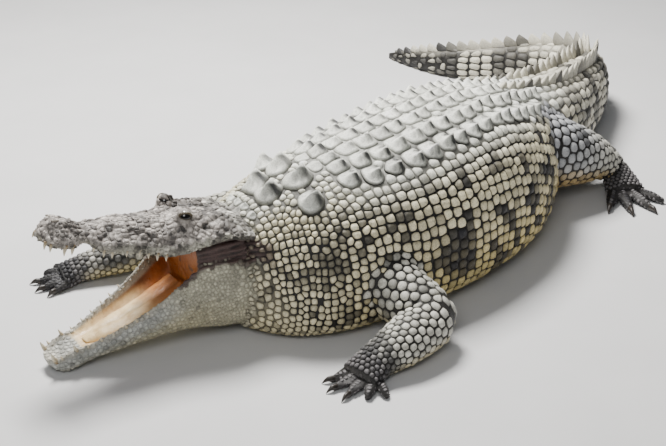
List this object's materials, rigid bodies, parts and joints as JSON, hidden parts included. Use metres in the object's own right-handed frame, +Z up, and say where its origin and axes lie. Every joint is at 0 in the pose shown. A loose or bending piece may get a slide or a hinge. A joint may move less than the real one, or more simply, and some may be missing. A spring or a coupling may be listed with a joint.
{
  "type": "nile crocodile",
  "caption": "Life-size still nile crocodile resting on its belly, jaws agape, one forelimb out in front and the crested tail curled to its right.",
  "frame": {"origin": "middle of the floor plan, on the floor that the belly rests on", "axes": "+X from head to tail along the trunk, +Y to the animal's right, +Z up"},
  "size_m": [2.306, 1.4738, 0.392],
  "materials": {
    "hide": "dry horny scales, cream to grey with dark blotches",
    "claw": "dark horn, slightly glossy",
    "eye": "wet and glossy, dark brown",
    "mouth": "moist, cream-yellow to orange-brown lining"
  },
  "bodies": {
    "root": {"eye_left": "eye", "eye_right": "eye", "foot_left": "hide", "foot_left_claw_1": "claw", "foot_left_claw_2": "claw", "foot_left_claw_3": "claw", "foot_right": "hide", "foot_right_claw_1": "claw", "foot_right_claw_2": "claw", "foot_right_claw_3": "claw", "forearm_left": "hide", "forearm_right": "hide", "hand_left": "hide", "hand_left_claw_1": "claw", "hand_left_claw_2": "claw", "hand_left_claw_3": "claw", "hand_right": "hide", "hand_right_claw_1": "claw", "hand_right_claw_2": "claw", "hand_right_claw_3": "claw", "head": "hide", "lower_jaw": "hide", "mouth_rear": "mouth", "neck": "hide", "shin_left": "hide", "shin_right": "hide", "tail_1": "hide", "tail_2": "hide", "tail_3": "hide", "tail_4": "hide", "tail_5": "hide", "tail_6": "hide", "thigh_left": "hide", "thigh_right": "hide", "tongue": "mouth", "trunk_front": "hide", "trunk_middle": "hide", "trunk_rear": "hide", "upper_arm_left": "hide", "upper_arm_right": "hide"}
  },
  "joints": []
}
